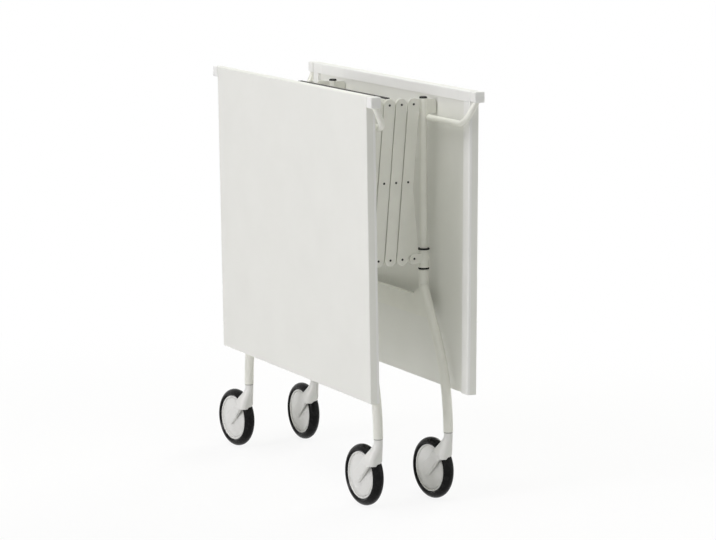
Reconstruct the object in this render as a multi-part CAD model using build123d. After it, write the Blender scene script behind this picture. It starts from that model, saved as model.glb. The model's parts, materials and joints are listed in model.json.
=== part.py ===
from build123d import *
import os
from math import asin, degrees, hypot, radians, tan

# Folding serving trolley, shown folded. X runs across the trays, Y is the fold direction,
# the floor is Z = 0 and the origin is the middle of the stance on the floor. Millimetres.

# Trays, hanging outside the frames when folded
TRAY_WIDTH = 620.0
TRAY_HEIGHT = 497.0
TRAY_TOP = 680.0
TRAY_OUTER_Y = 100.5
BOARD_THICKNESS = 12.5
RIM_THICKNESS = 4.5
RIM_WIDTH = 22.0
RAIL_HEIGHT = 18.0
CORNER_CAP_LENGTH = 40.0
REBATE_DEPTH = 0.6
JOINT_GAP = 0.3
TRAY_LEAN_DEG = 0.6
EDGE_ROUND = 1.5

# Hinge between each tray and the two ears on its frame
HINGE_Y = 92.0
HINGE_Z = 671.0
HINGE_PIN_R = 3.0
HINGE_PIN_GRIP = 20.0
EAR_LENGTH = 19.4
EAR_SIZE = 18.0
EAR_GAP = 0.6
PIN_END_GAP = 2.0

# Upright frames: two posts, two curved legs, a crossbar and a bent yoke tube
POST_X = 180.0
POST_Y = 63.5
POST_R = 6.5
POST_WALL = 1.5
POST_TOP = 658.6
CAP_TOP = 661.8
CAP_PLUG = 8.0
LEG_R = 8.0
LEG_WALL = 1.5
COLLAR_R = 8.9
COLLAR_TOP = 374.6
COLLAR_BOTTOM = 352.0
KNEE_Z = 345.0
KNEE_RADIUS = 24.0
STANCE_X = 270.0
LEG_SLOPE_DEG = 32.5
ANKLE_RADIUS = 296.0
LEG_BOTTOM = 116.5
LEG_PLUG_HEIGHT = 36.0
CROSSBAR_TOP = 329.0
CROSSBAR_BOTTOM = 296.0
CROSSBAR_THICKNESS = 8.0
GUSSET_START_X = 148.0
GUSSET_RISE = 14.0
YOKE_R = 5.0
YOKE_WALL = 1.2
YOKE_Y = 71.0
YOKE_Z = 627.0
YOKE_CORNER_X = 314.0
YOKE_BEND = 22.0
YOKE_END = (322.0, 91.0, 665.0)

# Lattice: crossed bars in two layers at each side, five columns of pivots
UNITS = 4
PIVOT_PITCH = 21.75
PIVOT_TOP = 650.0
PIVOT_BOTTOM = 394.0
BAR_R = 10.0
BAR_THICKNESS = 3.0
LAYER_GAP = 0.4
OUTER_FACE_X = 186.0
RIVET_R = 1.6
RIVET_HEAD_R = 2.3
RIVET_HEAD = 0.8
PIVOT_CLEARANCE = 0.05
LUG_R = 8.0
STOP_FIN_X = (176.5, 183.5)
STOP_FIN_Z = (634.0, 657.0)
STOP_FIN_END_Y = 85.0
STOP_FIN_ROUND = 6.0

# Sleeves that slide on the posts, with a dark bush ring at each end
SLEEVE_R = 8.7
SLEEVE_Z = (378.0, 407.5)
UPPER_BUSH_R = 10.0
UPPER_BUSH_TOP = 410.5
LOWER_BUSH_R = 9.2
LOWER_BUSH_BOTTOM = 375.2
SLIDE_CLEARANCE = 0.05

# Centre beam with its rubber strip, carried by the middle top pivots
BEAM_TOP = 660.0
BEAM_THICKNESS = 3.0
BEAM_HALF_Y = 7.0
STRIP_HALF_Y = 4.0
STRIP_END_GAP = 1.5
STRIP_ROUND = 1.2

# Casters, trailing towards -X with the arm on the -Y side
WHEEL_R = 51.0
WHEEL_SIDE = 3.0
TYRE_HALF_WIDTH = 10.5
TYRE_BEAD = 1.5
DISC_R = 39.4
DISC_RIM_HALF = 8.5
DISC_LIP = 2.4
DISC_LIP_SLOPE = 0.6
DISC_STEP = 1.2
DISC_CROWN = 0.8
HUB_R = 11.0
HUB_HALF = 11.7
HUB_STEP = 0.8
TRAIL = 38.75
STEM_R = 7.4
SWIVEL_GAP = 1.0
SWIVEL_PIN_R = 4.0
SWIVEL_PIN_TOP = 141.0
SWIVEL_PIN_BOTTOM = 98.0
AXLE_R = 4.0
AXLE_HEAD_R = 7.0
AXLE_HEAD = 2.5
AXLE_END_GAP = 0.4
AXLE_COVER = 1.6
ARM_INNER_Y = 15.0
ARM_OUTER_Y = 20.2
ARM_BOSS_Y = 18.6
ARM_ROUND = 3.6
ARM_BOSS_R = 12.0
ARM_SHOULDER = (-14.6, 78.5)
ARM_SHOULDER_R = 6.0
ARM_HEEL = (-4.0, 77.0)
ARM_HEEL_R = 5.0

# Level sections of the fork's body, from its round stem down:
# height, reach towards the hub, reach towards the arm, corner radius
FORK_LEVELS = [
    (LEG_BOTTOM - SWIVEL_GAP, STEM_R, STEM_R, 7.35),
    (107.0, 7.9, 8.0, 7.6),
    (99.0, 12.4, 11.4, 8.4),
    (90.0, 19.4, 16.2, 9.2),
    (80.0, 27.5, 19.9, 9.6),
    (72.5, 33.0, 20.5, 9.6),
]
HEADINGS_DEG = {"front_left": 9.0, "front_right": 6.9, "rear_left": 3.3, "rear_right": 9.1}

# Worked out from the driving dimensions
TRAY_BOTTOM = TRAY_TOP - TRAY_HEIGHT
BOARD_INNER_Y = TRAY_OUTER_Y - BOARD_THICKNESS
RIM_INNER_Y = BOARD_INNER_Y - RIM_THICKNESS
RAIL_BOTTOM = TRAY_TOP - RAIL_HEIGHT
HALF_WIDTH = TRAY_WIDTH / 2
END_PIVOT_Y = PIVOT_PITCH * UNITS / 2
UPPER_END_PIVOT = (END_PIVOT_Y, PIVOT_TOP)
LOWER_END_PIVOT = (END_PIVOT_Y, PIVOT_BOTTOM)
PIVOT_MIDDLE = (PIVOT_TOP + PIVOT_BOTTOM) / 2
RUNNING_HOLE_R = RIVET_R + PIVOT_CLEARANCE
OUTER_LAYER = (OUTER_FACE_X - BAR_THICKNESS, OUTER_FACE_X)
INNER_LAYER = (OUTER_LAYER[0] - LAYER_GAP - BAR_THICKNESS, OUTER_LAYER[0] - LAYER_GAP)
BEAM_LAYER = (INNER_LAYER[0] - LAYER_GAP - BAR_THICKNESS, INNER_LAYER[0] - LAYER_GAP)
WHEEL_CENTRE = (-TRAIL, -WHEEL_SIDE, WHEEL_R)

nodes = {}


def box(x, y, z):
    """Box between two limits on each axis."""
    middle = [(low + high) / 2 for low, high in (x, y, z)]
    size = [abs(high - low) for low, high in (x, y, z)]
    return Pos(*middle) * Box(*size)


def rod_x(radius, x, y, z):
    """Round rod along X between two X limits."""
    return Pos((x[0] + x[1]) / 2, y, z) * Rot(0, 90, 0) * Cylinder(radius, abs(x[1] - x[0]))


def rod_y(radius, x, y, z):
    """Round rod along Y between two Y limits."""
    return Pos(x, (y[0] + y[1]) / 2, z) * Rot(90, 0, 0) * Cylinder(radius, abs(y[1] - y[0]))


def rod_z(radius, x, y, z):
    """Round rod along Z between two Z limits."""
    return Pos(x, y, (z[0] + z[1]) / 2) * Cylinder(radius, abs(z[1] - z[0]))


def link(start, end, radius, x):
    """Flat bar with round ends between two (Y, Z) pivots, in the X layer given."""
    run = (end[0] - start[0], end[1] - start[1])
    middle = ((start[0] + end[0]) / 2, (start[1] + end[1]) / 2)
    plane = Plane(origin=(x[0], *middle), x_dir=(0, *run), z_dir=(1, 0, 0))
    return extrude(plane * SlotCenterToCenter(hypot(*run), 2 * radius), x[1] - x[0])


def tube(path, radius, wall):
    """Hollow round tube along a path."""
    start = Plane(origin=path @ 0, z_dir=path % 0)
    return sweep(start * (Circle(radius) - Circle(radius - wall)), path=path)


def bar_stock(path, radius):
    """Solid round bar along a path."""
    return sweep(Plane(origin=path @ 0, z_dir=path % 0) * Circle(radius), path=path)


def flipped(part):
    """The same part on the left side of the trolley."""
    return mirror(part, about=Plane.YZ)


def to_front(part):
    """The same part on the front frame."""
    return mirror(part, about=Plane.XZ)


def pair(part):
    """The part and its twin on the left side, as separate solids."""
    return [part, flipped(part)]


def add(name, parts):
    """Keep every solid of the parts under one node name."""
    solids = [solid for part in parts for solid in part.solids()]
    nodes[name] = solids


def add_both(name, parts):
    """Keep the parts on the rear frame and their mirror on the front frame."""
    add("rear_" + name, parts)
    add("front_" + name, [to_front(part) for part in parts])


# Frames
def leg_path():
    """Centre line of the right rear leg, from its collar down to the caster."""
    knee_drop = (STANCE_X - POST_X) / tan(radians(LEG_SLOPE_DEG))
    points = [
        (POST_X, POST_Y, COLLAR_TOP),
        (POST_X, POST_Y, KNEE_Z),
        (STANCE_X, POST_Y, KNEE_Z - knee_drop),
        (STANCE_X, POST_Y, LEG_BOTTOM),
    ]
    return FilletPolyline(*points, radius=[KNEE_RADIUS, ANKLE_RADIUS])


def leg():
    """Right rear leg: a bent tube with a collar on top and a bored plug at its foot."""
    path = leg_path()
    hollow = bar_stock(path, LEG_R - LEG_WALL)
    plug_top = LEG_BOTTOM + LEG_PLUG_HEIGHT
    hollow -= box((0, 2 * STANCE_X), (0, 2 * POST_Y), (0, plug_top))
    collar = rod_z(COLLAR_R, POST_X, POST_Y, (COLLAR_BOTTOM, COLLAR_TOP))
    collar = chamfer(collar.edges().group_by(Axis.Z)[0], 0.5)
    pin_bore = rod_z(
        SWIVEL_PIN_R + PIVOT_CLEARANCE, STANCE_X, POST_Y, (LEG_BOTTOM - 1, SWIVEL_PIN_TOP + 1)
    )
    socket = rod_z(POST_R, POST_X, POST_Y, (COLLAR_BOTTOM + 1, COLLAR_TOP + 1))
    return bar_stock(path, LEG_R) + collar - hollow - pin_bore - socket


def crossbar():
    """Flat bar between the two legs, rising into a small web at each end."""
    slope = tan(radians(LEG_SLOPE_DEG))
    top_x = POST_X + (KNEE_Z - CROSSBAR_TOP - GUSSET_RISE) * slope
    bottom_x = POST_X + (KNEE_Z - CROSSBAR_BOTTOM) * slope
    web_top = CROSSBAR_TOP + GUSSET_RISE
    rise = RadiusArc((GUSSET_START_X, CROSSBAR_TOP), (top_x, web_top), GUSSET_RISE * 3)
    outline = Curve() + [
        Line((0, CROSSBAR_BOTTOM), (bottom_x, CROSSBAR_BOTTOM)),
        Line((bottom_x, CROSSBAR_BOTTOM), (top_x, web_top)),
        rise,
        Line((GUSSET_START_X, CROSSBAR_TOP), (0, CROSSBAR_TOP)),
        Line((0, CROSSBAR_TOP), (0, CROSSBAR_BOTTOM)),
    ]
    face = make_face(outline.edges())
    plane = Plane(origin=(0, POST_Y + CROSSBAR_THICKNESS / 2, 0), x_dir=(1, 0, 0), z_dir=(0, -1, 0))
    half = extrude(plane * face, CROSSBAR_THICKNESS)
    half -= bar_stock(leg_path(), LEG_R)
    half = max(half.solids(), key=lambda solid: solid.volume)
    return half + flipped(half)


def ear():
    """Right rear hinge ear, a rounded block bored for the tray's pin."""
    near = HALF_WIDTH + EAR_GAP
    half = EAR_SIZE / 2
    block = box((near, near + EAR_LENGTH), (HINGE_Y - half, HINGE_Y + half), (HINGE_Z - half, HINGE_Z + half))
    block = fillet(block.edges(), EDGE_ROUND)
    bore = rod_x(HINGE_PIN_R + PIVOT_CLEARANCE, (near - 1, near + EAR_LENGTH - 1), HINGE_Y, HINGE_Z)
    return block - bore


def yoke():
    """Bent tube that joins the posts and carries both ears, coped onto the posts."""
    end_x, end_y, end_z = YOKE_END
    points = [
        (-end_x, end_y, end_z),
        (-YOKE_CORNER_X, YOKE_Y, YOKE_Z),
        (YOKE_CORNER_X, YOKE_Y, YOKE_Z),
        (end_x, end_y, end_z),
    ]
    bent = tube(FilletPolyline(*points, radius=YOKE_BEND), YOKE_R, YOKE_WALL)
    post = rod_z(POST_R, POST_X, POST_Y, (COLLAR_TOP, POST_TOP))
    near = HALF_WIDTH + EAR_GAP
    half = EAR_SIZE / 2
    seat = box((near, near + EAR_LENGTH), (HINGE_Y - half, HINGE_Y + half), (HINGE_Z - half, HINGE_Z + half))
    for cutter in pair(post) + pair(seat):
        bent -= cutter
    return max(bent.solids(), key=lambda solid: solid.volume)


def head_bracket(layer, hole_r):
    """Right rear post head: a lug towards the lattice and a stop fin towards the tray."""
    fin = box(STOP_FIN_X, (POST_Y, STOP_FIN_END_Y), STOP_FIN_Z)
    corner = fin.edges().filter_by(Axis.X).group_by(Axis.Y)[-1].sort_by(Axis.Z)[-1]
    part = link(UPPER_END_PIVOT, (POST_Y, PIVOT_TOP), LUG_R, layer) + fillet(corner, STOP_FIN_ROUND)
    part -= rod_z(POST_R, POST_X, POST_Y, (COLLAR_TOP, POST_TOP))
    part -= rod_x(YOKE_R, (0, YOKE_CORNER_X), YOKE_Y, YOKE_Z)
    return part - rod_x(hole_r, (BEAM_LAYER[0], OUTER_FACE_X), *UPPER_END_PIVOT)


def rivet(pivot, inner_face):
    """Headed rivet from the lattice's outer face to just past an inner face."""
    inner = inner_face - LAYER_GAP
    shank = rod_x(RIVET_R, (inner, OUTER_FACE_X), *pivot)
    heads = [
        rod_x(RIVET_HEAD_R, (OUTER_FACE_X, OUTER_FACE_X + RIVET_HEAD), *pivot),
        rod_x(RIVET_HEAD_R, (inner - RIVET_HEAD, inner), *pivot),
    ]
    return shank + heads


add_both("posts", pair(
    rod_z(POST_R, POST_X, POST_Y, (COLLAR_BOTTOM + 1, POST_TOP))
    - rod_z(POST_R - POST_WALL, POST_X, POST_Y, (COLLAR_BOTTOM, POST_TOP + 1))
))
add_both("legs", pair(leg()))
add_both("crossbar", [crossbar()])
add_both("yoke", [yoke()])
add_both("hinge_ears", pair(ear()))
cap = rod_z(POST_R, POST_X, POST_Y, (POST_TOP, CAP_TOP))
cap = fillet(cap.edges().group_by(Axis.Z)[-1], EDGE_ROUND)
cap += rod_z(POST_R - POST_WALL, POST_X, POST_Y, (POST_TOP - CAP_PLUG, POST_TOP))
add_both("post_caps", pair(cap))
add("rear_head_brackets", pair(head_bracket(INNER_LAYER, RUNNING_HOLE_R)))
add("front_head_brackets", [to_front(part) for part in pair(head_bracket(OUTER_LAYER, RIVET_R))])
add("front_bracket_studs", [to_front(part) for part in pair(rivet(UPPER_END_PIVOT, INNER_LAYER[0]))])


# Sleeves
def sleeve(layer, hole_r):
    """Right rear sleeve with a lug for the lattice's lowest end pivot."""
    part = rod_z(SLEEVE_R, POST_X, POST_Y, SLEEVE_Z)
    part += link(LOWER_END_PIVOT, (POST_Y, PIVOT_BOTTOM), LUG_R, layer)
    part -= rod_z(POST_R + SLIDE_CLEARANCE, POST_X, POST_Y, (LOWER_BUSH_BOTTOM, UPPER_BUSH_TOP))
    return part - rod_x(hole_r, (BEAM_LAYER[0], OUTER_FACE_X), *LOWER_END_PIVOT)


def bush(radius, z):
    """Dark ring on one end of the right rear sleeve."""
    ring = rod_z(radius, POST_X, POST_Y, z)
    ring = fillet(ring.edges(), EDGE_ROUND / 2)
    return ring - rod_z(POST_R + SLIDE_CLEARANCE, POST_X, POST_Y, (COLLAR_TOP, PIVOT_TOP))


add("rear_sleeves", pair(sleeve(OUTER_LAYER, RIVET_R)))
add("rear_sleeve_studs", pair(rivet(LOWER_END_PIVOT, INNER_LAYER[0])))
add("front_sleeves", [to_front(part) for part in pair(sleeve(INNER_LAYER, RUNNING_HOLE_R))])
upper_bush = bush(UPPER_BUSH_R, (SLEEVE_Z[1], UPPER_BUSH_TOP))
lower_bush = bush(LOWER_BUSH_R, (LOWER_BUSH_BOTTOM, SLEEVE_Z[0]))
add_both("sleeve_bushes", pair(upper_bush) + pair(lower_bush))


# Trays
def leaned(part):
    """The rear tray's part at its rest lean about the hinge."""
    return part.rotate(Axis((0, HINGE_Y, HINGE_Z), (1, 0, 0)), -TRAY_LEAN_DEG)


def tray_panel():
    """Laminated board with a rebate under the rims, bored at both ends for the hinge pins."""
    rebate_y = BOARD_INNER_Y + REBATE_DEPTH
    board = box((-HALF_WIDTH, HALF_WIDTH), (rebate_y, TRAY_OUTER_Y), (TRAY_BOTTOM, TRAY_TOP))
    board = fillet(board.edges().group_by(Axis.Y)[-1], EDGE_ROUND)
    field_x = HALF_WIDTH - RIM_WIDTH - JOINT_GAP
    field_top = RAIL_BOTTOM - JOINT_GAP
    board += box((-field_x, field_x), (BOARD_INNER_Y, rebate_y + REBATE_DEPTH), (TRAY_BOTTOM, field_top))
    bore = rod_x(HINGE_PIN_R, (HALF_WIDTH - HINGE_PIN_GRIP, HALF_WIDTH + 1), HINGE_Y, HINGE_Z)
    for cutter in pair(bore):
        board -= cutter
    return board


def rim_strip(x, z):
    """Raised strip on the serving face of the rear tray, with its free edges eased."""
    strip = box(x, (RIM_INNER_Y, BOARD_INNER_Y + REBATE_DEPTH), z)
    return fillet(strip.edges().group_by(Axis.Y)[0], EDGE_ROUND)


side_rim = rim_strip((HALF_WIDTH - RIM_WIDTH, HALF_WIDTH), (TRAY_BOTTOM, RAIL_BOTTOM))
corner_cap = rim_strip((HALF_WIDTH - CORNER_CAP_LENGTH, HALF_WIDTH), (RAIL_BOTTOM, TRAY_TOP))
rail_half = HALF_WIDTH - CORNER_CAP_LENGTH
pin_reach = HALF_WIDTH + EAR_GAP + EAR_LENGTH - PIN_END_GAP
hinge_pin = rod_x(HINGE_PIN_R, (HALF_WIDTH - HINGE_PIN_GRIP, pin_reach), HINGE_Y, HINGE_Z)
add_both("tray_panel", [leaned(tray_panel())])
add_both("tray_side_rims", [leaned(part) for part in pair(side_rim)])
add_both("tray_end_rail", [leaned(rim_strip((-rail_half, rail_half), (RAIL_BOTTOM, TRAY_TOP)))])
add_both("tray_corner_caps", [leaned(part) for part in pair(corner_cap)])
add_both("tray_hinge_pins", [leaned(part) for part in pair(hinge_pin)])


# Lattice
def column(index):
    """Y of a column of pivots, counted from the front."""
    return (index - UNITS / 2) * PIVOT_PITCH


def lattice_bar(start, end, layer, hole_r):
    """Right side bar between two end pivots, with holes there and at its middle."""
    part = link(start, end, BAR_R, layer)
    middle = ((start[0] + end[0]) / 2, (start[1] + end[1]) / 2)
    for pivot in (start, middle, end):
        part -= rod_x(hole_r, (BEAM_LAYER[0], OUTER_FACE_X + 1), *pivot)
    return part


def outer_rivets(unit):
    """Rivets carried by one outer bar, long at the pivot that also carries the centre beam."""
    top_inner = BEAM_LAYER[0] if unit + 1 == UNITS // 2 else INNER_LAYER[0]
    return [
        rivet((column(unit), PIVOT_BOTTOM), INNER_LAYER[0]),
        rivet((column(unit) + PIVOT_PITCH / 2, PIVOT_MIDDLE), INNER_LAYER[0]),
        rivet((column(unit + 1), PIVOT_TOP), top_inner),
    ]


for unit in range(UNITS):
    near_y, far_y = column(unit), column(unit + 1)
    outer = lattice_bar((near_y, PIVOT_BOTTOM), (far_y, PIVOT_TOP), OUTER_LAYER, RIVET_R)
    inner = lattice_bar((near_y, PIVOT_TOP), (far_y, PIVOT_BOTTOM), INNER_LAYER, RUNNING_HOLE_R)
    add(f"outer_bars_{unit + 1}", pair(outer))
    add(f"inner_bars_{unit + 1}", pair(inner))
    add(f"lattice_rivets_{unit + 1}", [twin for part in outer_rivets(unit) for twin in pair(part)])


# Centre beam
def centre_beam():
    """Flat cross bar with a lug at each end for the middle top pivots."""
    reach = BEAM_LAYER[1]
    bar = box((-reach, reach), (-BEAM_HALF_Y, BEAM_HALF_Y), (BEAM_TOP - BEAM_THICKNESS, BEAM_TOP))
    lug = box(BEAM_LAYER, (-BEAM_HALF_Y, BEAM_HALF_Y), (PIVOT_TOP, BEAM_TOP))
    lug += rod_x(BEAM_HALF_Y, BEAM_LAYER, 0, PIVOT_TOP)
    hole = rod_x(RUNNING_HOLE_R, BEAM_LAYER, 0, PIVOT_TOP)
    for part in pair(lug):
        bar += part
    for part in pair(hole):
        bar -= part
    return bar


strip_reach = BEAM_LAYER[1] - STRIP_END_GAP
strip = box((-strip_reach, strip_reach), (-STRIP_HALF_Y, STRIP_HALF_Y), (BEAM_TOP, CAP_TOP))
add("centre_beam", [centre_beam()])
add("centre_strip", [fillet(strip.edges().group_by(Axis.Z)[-1], STRIP_ROUND)])


# Casters
def fork_level(height, back, side, corner):
    """Level section of the fork's body, with straight front and far sides."""
    middle = Pos((STEM_R - back) / 2, (STEM_R - side) / 2, height)
    return middle * RectangleRounded(STEM_R + back, STEM_R + side, corner)


def fork_arm():
    """Flat arm that tapers from the body's heel and shoulder to a round boss on the axle."""
    circles = [
        Pos(-TRAIL, WHEEL_R) * Circle(ARM_BOSS_R),
        Pos(*ARM_SHOULDER) * Circle(ARM_SHOULDER_R),
        Pos(*ARM_HEEL) * Circle(ARM_HEEL_R),
    ]
    outline = make_hull([edge for circle in circles for edge in circle.edges()])
    plane = Plane(origin=(0, -ARM_INNER_Y, 0), x_dir=(1, 0, 0), z_dir=(0, -1, 0))
    arm = extrude(plane * outline, 2 * ARM_OUTER_Y)
    boss = Vector(-TRAIL, -ARM_BOSS_Y, WHEEL_R)
    shoulder = Vector(ARM_SHOULDER[0], -ARM_OUTER_Y, ARM_SHOULDER[1])
    level_across = (shoulder - boss).cross(Vector(0, 1, 0))
    outer_face = Plane(origin=boss, x_dir=shoulder - boss, z_dir=level_across.cross(shoulder - boss))
    arm = split(arm, bisect_by=outer_face, keep=Keep.TOP)
    return fillet(arm.faces().sort_by(Axis.Y)[0].edges(), ARM_ROUND)


def wheel_turned(profile):
    """Solid turned about the wheel's axle from a profile in (radius, across) coordinates."""
    plane = Plane(origin=WHEEL_CENTRE, x_dir=(1, 0, 0), z_dir=(0, 0, 1))
    return revolve(plane * profile, Axis(WHEEL_CENTRE, (0, 1, 0)))


def wheel_room():
    """Room for the wheel in the fork: it follows the tyre's round on the arm's side and is open beyond."""
    half = ARM_INNER_Y - WHEEL_SIDE
    middle = WHEEL_R - TYRE_HALF_WIDTH
    section = Pos(middle, 0) * Circle(half)
    section += Pos(middle / 2, 0) * Rectangle(middle, 2 * half)
    section += Pos((middle + half) / 2, half) * Rectangle(middle + half, 2 * half)
    return wheel_turned(section)


def fork():
    """One-sided fork: a round stem that flares into a heel over the tyre and an arm beside it."""
    part = loft([fork_level(*level) for level in FORK_LEVELS]) + fork_arm()
    part -= wheel_room()
    part -= rod_z(SWIVEL_PIN_R, 0, 0, (SWIVEL_PIN_BOTTOM, SWIVEL_PIN_TOP))
    part -= rod_y(AXLE_R, -TRAIL, (AXLE_COVER - ARM_BOSS_Y, 0), WHEEL_R)
    return max(part.solids(), key=lambda solid: solid.volume)


def wheel_disc():
    """White disc with a raised lip, a shallow crown and a hub bored for the axle."""
    bore_r = AXLE_R + PIVOT_CLEARANCE
    lip_r = DISC_R - DISC_LIP
    hub_edge = (HUB_R + HUB_STEP, HUB_HALF - HUB_STEP)
    face_edge = (lip_r, DISC_RIM_HALF - DISC_STEP)
    crown = ((hub_edge[0] + face_edge[0]) / 2, (hub_edge[1] + face_edge[1]) / 2 + DISC_CROWN)
    outline = Curve() + [
        Polyline((DISC_R, 0), (bore_r, 0), (bore_r, HUB_HALF), (HUB_R, HUB_HALF), hub_edge),
        ThreePointArc(hub_edge, crown, face_edge),
        Polyline(face_edge, (lip_r + DISC_LIP_SLOPE, DISC_RIM_HALF), (DISC_R, DISC_RIM_HALF), (DISC_R, 0)),
    ]
    profile = make_face(outline.edges())
    return wheel_turned(profile + mirror(profile, about=Plane.XZ))


def tyre():
    """Black tyre of round section, seated on the disc's rim."""
    section = Pos(WHEEL_R - TYRE_HALF_WIDTH, 0) * Circle(TYRE_HALF_WIDTH)
    section -= Pos(DISC_R - WHEEL_R / 2, 0) * Rectangle(WHEEL_R, WHEEL_R)
    section = fillet(section.vertices().group_by(Axis.X)[0], TYRE_BEAD)
    return wheel_turned(section)


def caster_pins():
    """Swivel pin in the stem and the axle, whose head holds the wheel on."""
    swivel = rod_z(SWIVEL_PIN_R, 0, 0, (SWIVEL_PIN_BOTTOM, SWIVEL_PIN_TOP))
    axle_end = HUB_HALF - WHEEL_SIDE + AXLE_END_GAP
    axle = rod_y(AXLE_R, -TRAIL, (AXLE_COVER - ARM_BOSS_Y, axle_end), WHEEL_R)
    axle += rod_y(AXLE_HEAD_R, -TRAIL, (axle_end, axle_end + AXLE_HEAD), WHEEL_R)
    return [swivel, axle]


caster = {"fork": [fork()], "caster_pins": caster_pins(), "wheel_disc": [wheel_disc()], "tyre": [tyre()]}
for corner, heading in HEADINGS_DEG.items():
    side_y = POST_Y if "rear" in corner else -POST_Y
    side_x = STANCE_X if "right" in corner else -STANCE_X
    for piece, parts in caster.items():
        add(f"{corner}_{piece}", [Pos(side_x, side_y, 0) * Rot(0, 0, heading) * part for part in parts])


os.makedirs("parts", exist_ok=True)
for name, solids in nodes.items():
    export_step(Compound(solids), f"parts/{name}.step")
closed = degrees(asin(PIVOT_PITCH / hypot(PIVOT_PITCH, PIVOT_TOP - PIVOT_BOTTOM)))
print(f"{len(nodes)} nodes, lattice bars stand {closed:.3f} degrees off vertical when folded")
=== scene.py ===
"""Looks of the folding serving trolley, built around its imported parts.

Every class models one sub-assembly in millimetres at the rear right of the trolley, the way the
part's own drawing does, and mirrors it to the other places. A finished piece is cast in metres.
"""

from __future__ import annotations

import functools
import json
import logging
import math
from dataclasses import dataclass
from enum import Enum
from typing import Callable, Sequence

import bmesh
import bpy
from mathutils import Matrix, Vector

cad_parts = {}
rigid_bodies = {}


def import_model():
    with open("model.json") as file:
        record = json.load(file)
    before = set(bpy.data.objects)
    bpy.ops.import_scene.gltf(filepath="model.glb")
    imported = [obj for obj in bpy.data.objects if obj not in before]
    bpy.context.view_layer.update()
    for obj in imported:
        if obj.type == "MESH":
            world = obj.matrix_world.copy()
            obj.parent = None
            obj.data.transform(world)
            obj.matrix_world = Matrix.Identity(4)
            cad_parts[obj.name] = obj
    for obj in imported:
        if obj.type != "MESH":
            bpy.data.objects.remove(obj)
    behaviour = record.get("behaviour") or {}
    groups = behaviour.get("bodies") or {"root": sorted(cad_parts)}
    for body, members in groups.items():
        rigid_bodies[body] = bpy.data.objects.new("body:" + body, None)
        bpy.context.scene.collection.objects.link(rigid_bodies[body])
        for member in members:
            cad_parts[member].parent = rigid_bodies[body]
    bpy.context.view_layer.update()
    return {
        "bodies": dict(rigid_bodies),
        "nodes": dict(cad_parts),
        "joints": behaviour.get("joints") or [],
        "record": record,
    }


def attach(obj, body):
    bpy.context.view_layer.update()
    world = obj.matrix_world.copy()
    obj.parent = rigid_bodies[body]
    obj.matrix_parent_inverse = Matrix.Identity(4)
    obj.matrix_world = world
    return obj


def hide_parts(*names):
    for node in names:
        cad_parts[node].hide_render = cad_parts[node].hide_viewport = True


LOG = logging.getLogger("trolley")

Point = tuple[float, float, float]
Colour = tuple[float, float, float]
Limits = tuple[float, float]
Profile = Sequence[tuple[float, float]]

MM = 0.001  # metres in a millimetre
SHARP_ANGLE = math.radians(38.0)  # faces that meet at less than this shade as one
MERGE_DISTANCE = 0.001  # in millimetres
POST_X, POST_Y = 180.0, 63.5  # axis of the rear right post
X_AXIS = Vector((1.0, 0.0, 0.0))
Y_AXIS = Vector((0.0, 1.0, 0.0))
Z_AXIS = Vector((0.0, 0.0, 1.0))


class Side(Enum):
    """The two halves of the trolley along the fold."""

    REAR = "rear"
    FRONT = "front"

    @property
    def sign(self) -> int:
        """Direction of this half along Y."""
        return 1 if self is Side.REAR else -1


class Hand(Enum):
    """The two ends of the trolley across the trays."""

    RIGHT = "right"
    LEFT = "left"

    @property
    def sign(self) -> int:
        """Direction of this end along X."""
        return 1 if self is Hand.RIGHT else -1


class Layer(Enum):
    """The two layers of crossed bars in a lattice."""

    OUTER = "outer"
    INNER = "inner"


# Finishes

# Part of the noise's range that each pattern is spread over
MOTTLE_SPAN = (0.35, 0.75)
SMUDGE_SPAN = (0.3, 0.7)
DUST_SPAN = (0.45, 0.8)

# Sockets of the node that mixes colours, which has them for other types too
MIX_FACTOR, MIX_LOW, MIX_HIGH, MIX_RESULT = 0, 6, 7, 2


def set_range(node: bpy.types.Node, source: Limits, target: Limits) -> None:
    """Sets the two ranges of a Map Range node.

    Args:
        node: The node.
        source: The range that comes in.
        target: The range that goes out.
    """
    names = ("From Min", "From Max", "To Min", "To Max")
    for name, number in zip(names, (*source, *target)):
        node.inputs[name].default_value = number


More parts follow.
